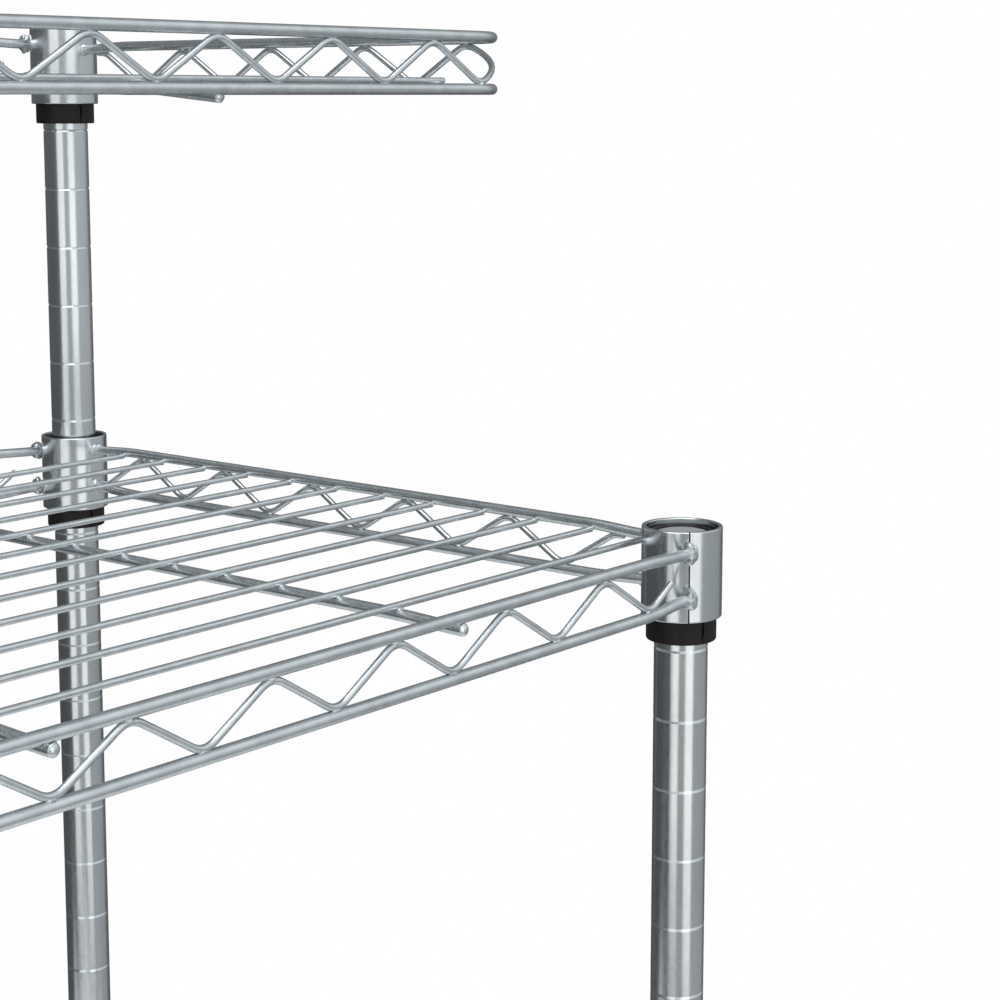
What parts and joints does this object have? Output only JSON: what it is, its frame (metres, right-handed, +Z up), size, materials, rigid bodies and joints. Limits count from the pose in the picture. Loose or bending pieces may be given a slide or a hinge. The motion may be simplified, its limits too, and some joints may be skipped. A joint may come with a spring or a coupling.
{
  "type": "wire shelving rack",
  "caption": "Free-standing wire shelving rack with full shelves and a raised rear tray on grooved tube posts, held by split taper sleeves, on levelling feet.",
  "frame": {"origin": "on the floor, under the middle of the rack", "axes": "+Z up, +X along the shelves, -Y towards the front, where the posts are short"},
  "size_m": [0.6096, 0.3556, 0.9018],
  "materials": {
    "bright_zinc": "bright zinc plate",
    "satin_wire": "satin zinc plate",
    "black_plastic": "matte",
    "grey_plastic": "satin"
  },
  "bodies": {
    "frame": {"foot_insert_front_left": "black_plastic", "foot_insert_front_right": "black_plastic", "foot_insert_rear_left": "black_plastic", "foot_insert_rear_right": "black_plastic", "post_cap_front_left": "grey_plastic", "post_cap_front_right": "grey_plastic", "post_cap_rear_left": "grey_plastic", "post_cap_rear_right": "grey_plastic", "post_front_left": "bright_zinc", "post_front_right": "bright_zinc", "post_rear_left": "bright_zinc", "post_rear_right": "bright_zinc", "sleeve_bottom_front_left_inner": "black_plastic", "sleeve_bottom_front_left_outer": "black_plastic", "sleeve_bottom_front_right_inner": "black_plastic", "sleeve_bottom_front_right_outer": "black_plastic", "sleeve_bottom_rear_left_inner": "black_plastic", "sleeve_bottom_rear_left_outer": "black_plastic", "sleeve_bottom_rear_right_inner": "black_plastic", "sleeve_bottom_rear_right_outer": "black_plastic", "sleeve_main_front_left_inner": "black_plastic", "sleeve_main_front_left_outer": "black_plastic", "sleeve_main_front_right_inner": "black_plastic", "sleeve_main_front_right_outer": "black_plastic", "sleeve_main_rear_left_inner": "black_plastic", "sleeve_main_rear_left_outer": "black_plastic", "sleeve_main_rear_right_inner": "black_plastic", "sleeve_main_rear_right_outer": "black_plastic", "sleeve_tray_rear_left_inner": "black_plastic", "sleeve_tray_rear_left_outer": "black_plastic", "sleeve_tray_rear_right_inner": "black_plastic", "sleeve_tray_rear_right_outer": "black_plastic"},
    "bottom_shelf": {"bottom_shelf_collar_front_left": "bright_zinc", "bottom_shelf_collar_front_right": "bright_zinc", "bottom_shelf_collar_rear_left": "bright_zinc", "bottom_shelf_collar_rear_right": "bright_zinc", "bottom_shelf_deck": "satin_wire", "bottom_shelf_truss_front": "satin_wire", "bottom_shelf_truss_left": "satin_wire", "bottom_shelf_truss_rear": "satin_wire", "bottom_shelf_truss_right": "satin_wire"},
    "main_shelf": {"main_shelf_collar_front_left": "bright_zinc", "main_shelf_collar_front_right": "bright_zinc", "main_shelf_collar_rear_left": "bright_zinc", "main_shelf_collar_rear_right": "bright_zinc", "main_shelf_deck": "satin_wire", "main_shelf_truss_front": "satin_wire", "main_shelf_truss_left": "satin_wire", "main_shelf_truss_rear": "satin_wire", "main_shelf_truss_right": "satin_wire"},
    "upper_tray": {"upper_tray_collar_rear_left": "bright_zinc", "upper_tray_collar_rear_right": "bright_zinc", "upper_tray_deck": "satin_wire", "upper_tray_rim_truss": "satin_wire", "upper_tray_truss_rear": "satin_wire"},
    "leveller_front_left": {"leveller_front_left": "bright_zinc"},
    "leveller_front_right": {"leveller_front_right": "bright_zinc"},
    "leveller_rear_left": {"leveller_rear_left": "bright_zinc"},
    "leveller_rear_right": {"leveller_rear_right": "bright_zinc"}
  },
  "joints": [
    {"name": "bottom_shelf_lift", "type": "slide", "parent": "frame", "child": "bottom_shelf", "axis": [0, 0, 1], "range_m": [0, 0.508]},
    {"name": "main_shelf_lift", "type": "slide", "parent": "frame", "child": "main_shelf", "axis": [0, 0, 1], "range_m": [0, 0.127]},
    {"name": "upper_tray_lift", "type": "slide", "parent": "frame", "child": "upper_tray", "axis": [0, 0, 1], "range_m": [0, 0.06]},
    {"name": "leveller_front_left_screw", "type": "slide", "parent": "frame", "child": "leveller_front_left", "axis": [0, 0, -1], "range_m": [0, 0.012]},
    {"name": "leveller_front_right_screw", "type": "slide", "parent": "frame", "child": "leveller_front_right", "axis": [0, 0, -1], "range_m": [0, 0.012]},
    {"name": "leveller_rear_left_screw", "type": "slide", "parent": "frame", "child": "leveller_rear_left", "axis": [0, 0, -1], "range_m": [0, 0.012]},
    {"name": "leveller_rear_right_screw", "type": "slide", "parent": "frame", "child": "leveller_rear_right", "axis": [0, 0, -1], "range_m": [0, 0.012]}
  ]
}
